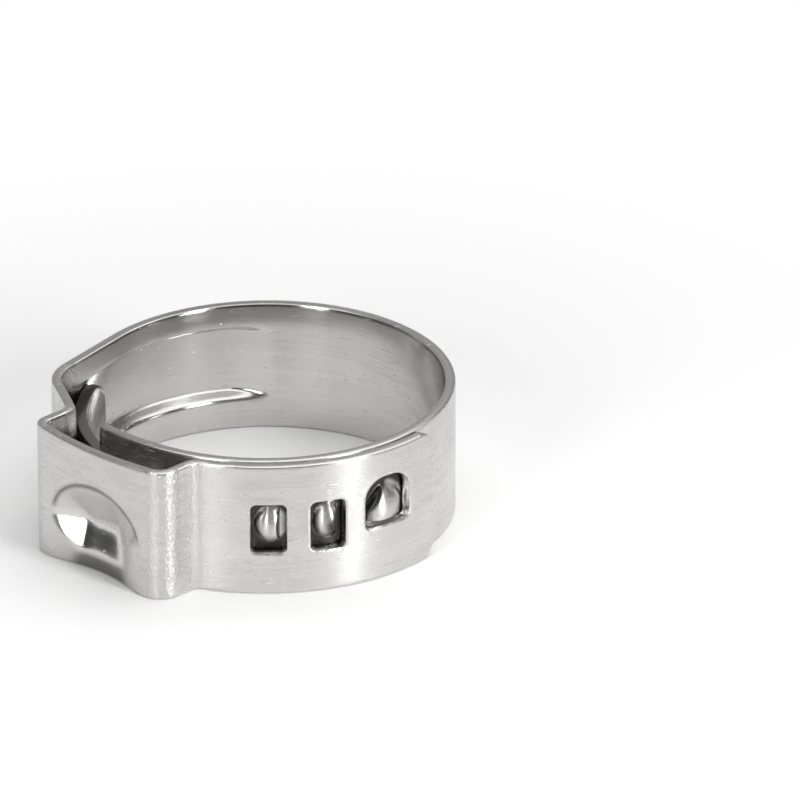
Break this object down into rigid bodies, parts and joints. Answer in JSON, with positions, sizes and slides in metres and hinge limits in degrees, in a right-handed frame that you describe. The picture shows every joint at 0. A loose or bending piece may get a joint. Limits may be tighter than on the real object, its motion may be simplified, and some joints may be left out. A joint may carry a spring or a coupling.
{
  "type": "ear hose clamp",
  "caption": "Stepless single-ear hose clamp bent from one stainless strip, with hooked windows, a tongue lying in a raised groove, and a dimpled ear that is squeezed to tighten it.",
  "frame": {"origin": "on the axis of the round bore, in the plane of the band's lower edge, which it lies on", "axes": "+Z along the bore's axis, up through the band's width; -Y from the axis to the ear; +X to the side where the outer layer is hooked on"},
  "size_m": [0.0204, 0.0218, 0.007],
  "materials": {
    "stainless": "bright rolled stainless strip with fine scratches along the strip, duller and pressed rough where it is bent and punched"
  },
  "bodies": {
    "root": {"clamp_band": "stainless"}
  },
  "joints": []
}
